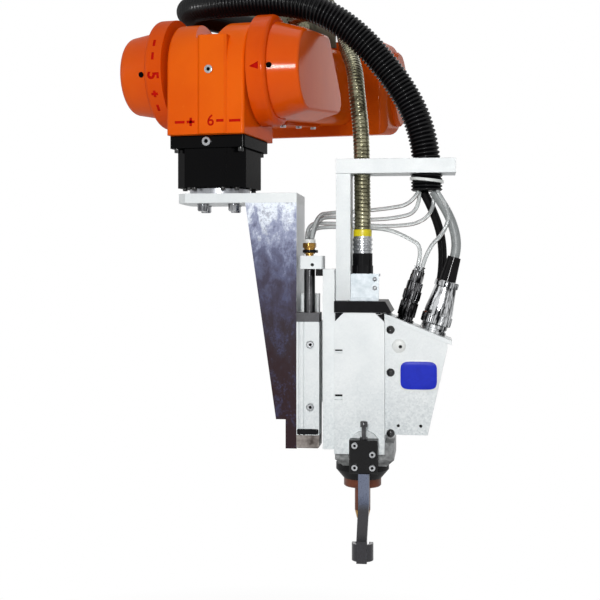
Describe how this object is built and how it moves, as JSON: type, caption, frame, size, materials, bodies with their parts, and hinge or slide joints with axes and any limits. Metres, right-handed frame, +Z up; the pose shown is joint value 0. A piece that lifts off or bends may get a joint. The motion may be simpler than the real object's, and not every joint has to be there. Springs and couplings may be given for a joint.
{
  "type": "industrial robot forearm and wrist with a stud welding head",
  "caption": "Robot forearm with a fork wrist, a gearbox and turning flange, and a stud welding head that rides on a cylinder slide, fed by a black conduit and a metal hose.",
  "frame": {"origin": "centre of the elbow flange's outer face, on the elbow axis", "axes": "+Z up, +X from the flange into the arm along the elbow axis, the forearm reaching forward towards -Y"},
  "size_m": [0.5249, 0.83, 0.9329],
  "materials": {
    "orange_paint": "satin enamel",
    "black_paint": "satin enamel",
    "grey_paint": "satin enamel",
    "aluminium": "milled",
    "mill_steel": "hot rolled, mottled",
    "ground_steel": "ground",
    "zinc": "zinc plated",
    "chrome": "polished",
    "brass": "turned",
    "black_plastic": "matte",
    "white_plastic": "matte",
    "brown_insulator": "matte",
    "conduit_black": "ribbed",
    "clear_hose": "clear",
    "grey_jacket": "smooth",
    "black_jacket": "smooth",
    "black_steel": "blackened"
  },
  "bodies": {
    "forearm": {"elbow_flange": "ground_steel", "elbow_housing": "orange_paint", "forearm_casting": "orange_paint", "forearm_cover": "orange_paint", "left_fork": "orange_paint", "right_fork": "orange_paint", "left_cover": "orange_paint", "right_cover": "orange_paint", "line_carrier": "grey_paint", "black_conduit": "conduit_black", "metal_hose": "ground_steel"},
    "wrist": {"wrist_housing": "orange_paint", "gearbox_block": "black_paint", "gearbox_body": "black_paint"},
    "tool_mount": {"flange_disc": "ground_steel", "tool_plate": "aluminium", "hanger_plate": "mill_steel", "front_gusset": "mill_steel", "rear_gusset": "mill_steel", "guide_rail": "ground_steel", "cylinder_body": "aluminium", "cylinder_head": "ground_steel", "stop_block": "mill_steel"},
    "weld_head": {"piston_rod": "chrome", "rod_block": "aluminium", "rod_link": "black_steel", "hose_fitting": "brass", "fitting_collar": "white_plastic", "guide_carriage": "ground_steel", "carriage_plate": "aluminium", "cable_post": "aluminium", "cable_arm": "aluminium", "head_top_plate": "black_plastic", "head_housing": "aluminium", "front_cover": "aluminium", "connector_box": "aluminium", "connector_lid": "aluminium", "small_connector": "black_steel", "large_connector": "chrome", "connector_boot": "black_jacket", "hose_ferrule": "zinc", "hose_gland": "black_plastic", "gland_bracket": "zinc", "conduit_collar": "conduit_black", "nose_block": "aluminium", "nose_cone": "black_plastic", "insulator": "brown_insulator", "chuck_tube": "brown_insulator", "chuck_tip": "brass", "foot_mount": "aluminium", "foot_clamp": "black_steel", "support_foot": "ground_steel", "first_air_hose": "clear_hose", "second_air_hose": "clear_hose", "third_air_hose": "clear_hose", "fourth_air_hose": "clear_hose", "signal_hose": "clear_hose", "grey_cable": "grey_jacket", "black_cable": "black_jacket"}
  },
  "joints": [
    {"name": "wrist_bend", "type": "hinge", "parent": "forearm", "child": "wrist", "pos_m": [0.165, -0.63649, -0.0669], "axis": [-1, 0, 0], "range_deg": [-30, 90], "deforming": ["black_conduit", "metal_hose"]},
    {"name": "flange_turn", "type": "hinge", "parent": "wrist", "child": "tool_mount", "pos_m": [0.165, -0.63649, -0.0669], "axis": [0, 0, 1], "range_deg": [-100, 30], "deforming": ["black_conduit", "metal_hose"]},
    {"name": "head_slide", "type": "slide", "parent": "tool_mount", "child": "weld_head", "axis": [0, 0, -1], "range_m": [0, 0.045], "deforming": ["black_conduit", "metal_hose"]}
  ]
}
